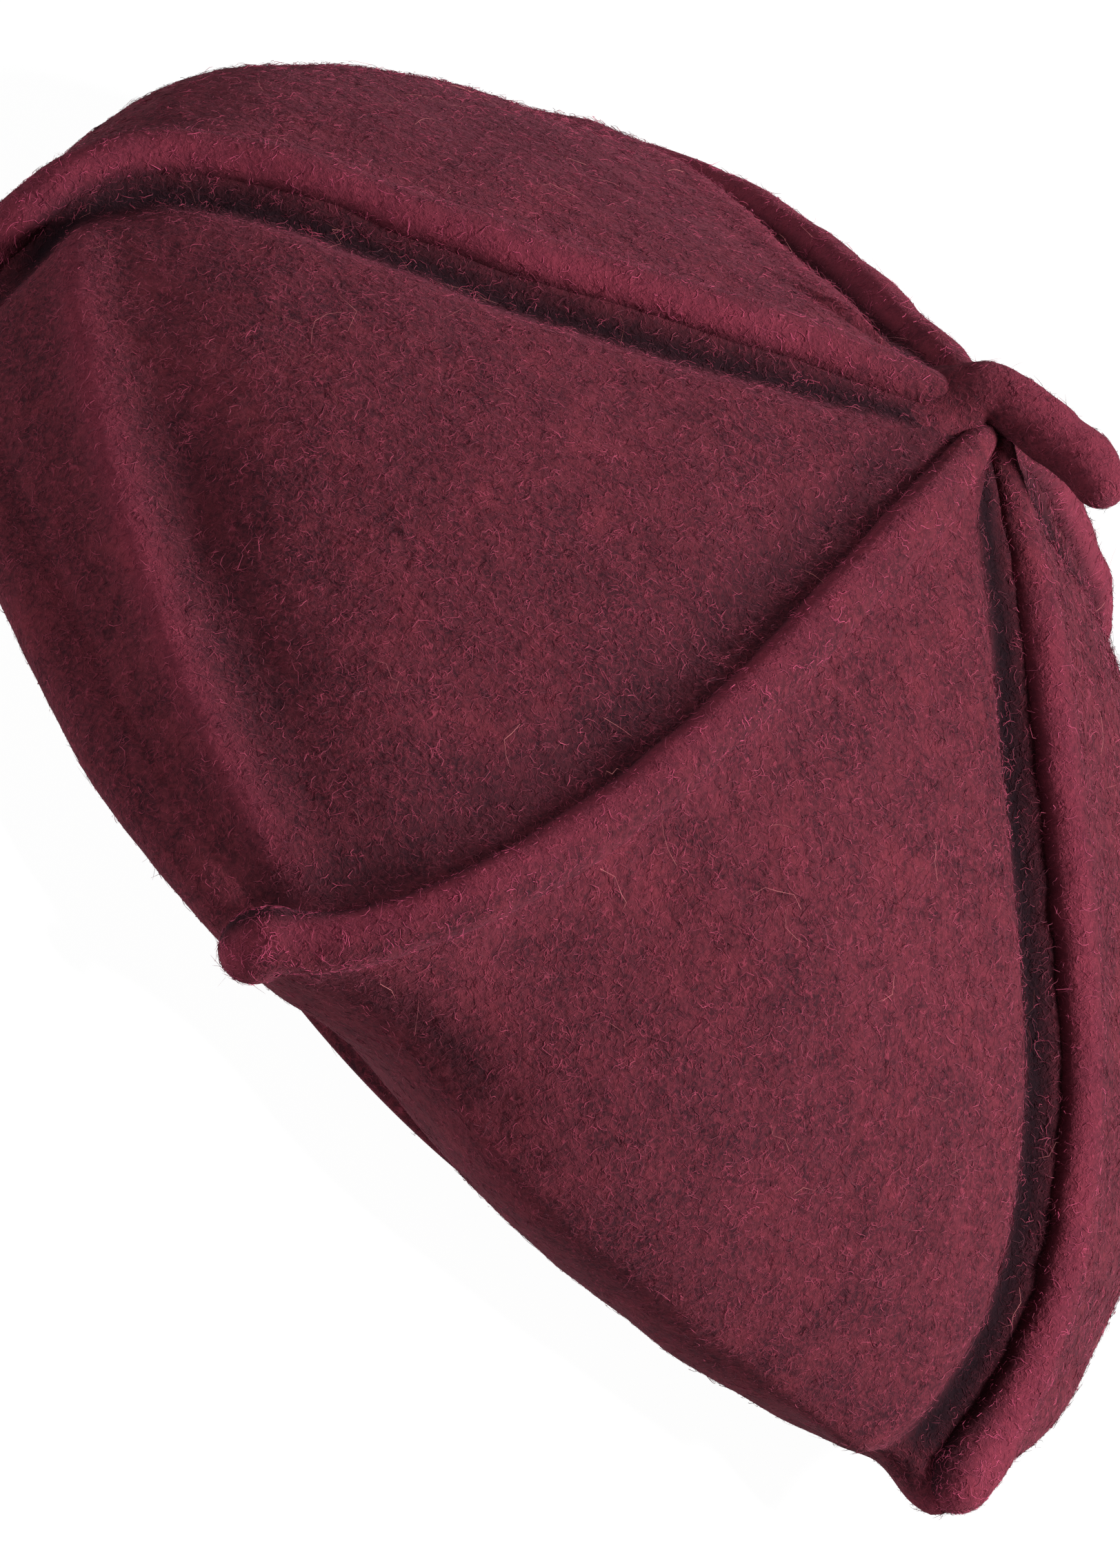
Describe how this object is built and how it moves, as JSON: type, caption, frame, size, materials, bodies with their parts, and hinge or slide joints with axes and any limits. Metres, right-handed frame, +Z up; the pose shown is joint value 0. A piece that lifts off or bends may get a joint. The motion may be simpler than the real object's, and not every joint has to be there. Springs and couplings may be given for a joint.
{
  "type": "felt beret",
  "caption": "Soft felt beret with a drooping crown stalk, raised felted ridge rolls that end in round nubs, a folded rim and a ribbon sweatband.",
  "frame": {"origin": "centre of the head opening, in the plane of its lower edge, which rests on a surface", "axes": "+Z up through the crown's apex; the most visible ridge roll points towards -Y; +X is the wearer's side that the stalk leans to"},
  "size_m": [0.2608, 0.2801, 0.1308],
  "materials": {
    "felt": "burgundy felted wool, mottled and slightly hairy",
    "ribbon": "dark ribbed grosgrain ribbon",
    "thread": "matte sewing thread",
    "label": "blank woven label, off-white"
  },
  "bodies": {
    "crown": {"felt_shell": "felt", "ridge_roll_1": "felt", "ridge_roll_2": "felt", "ridge_roll_3": "felt", "ridge_roll_4": "felt", "ridge_roll_5": "felt", "stalk_root": "felt", "sweatband": "ribbon", "sweatband_stitches": "thread", "size_label": "label"},
    "stalk": {"stalk": "felt"}
  },
  "joints": [
    {"name": "stalk_bend", "type": "hinge", "parent": "crown", "child": "stalk", "pos_m": [0, 0, 0.1224], "axis": [-0.1045, -0.9945, 0], "range_deg": [-12, 50], "stiffness_Nm_per_rad": 0.002}
  ]
}
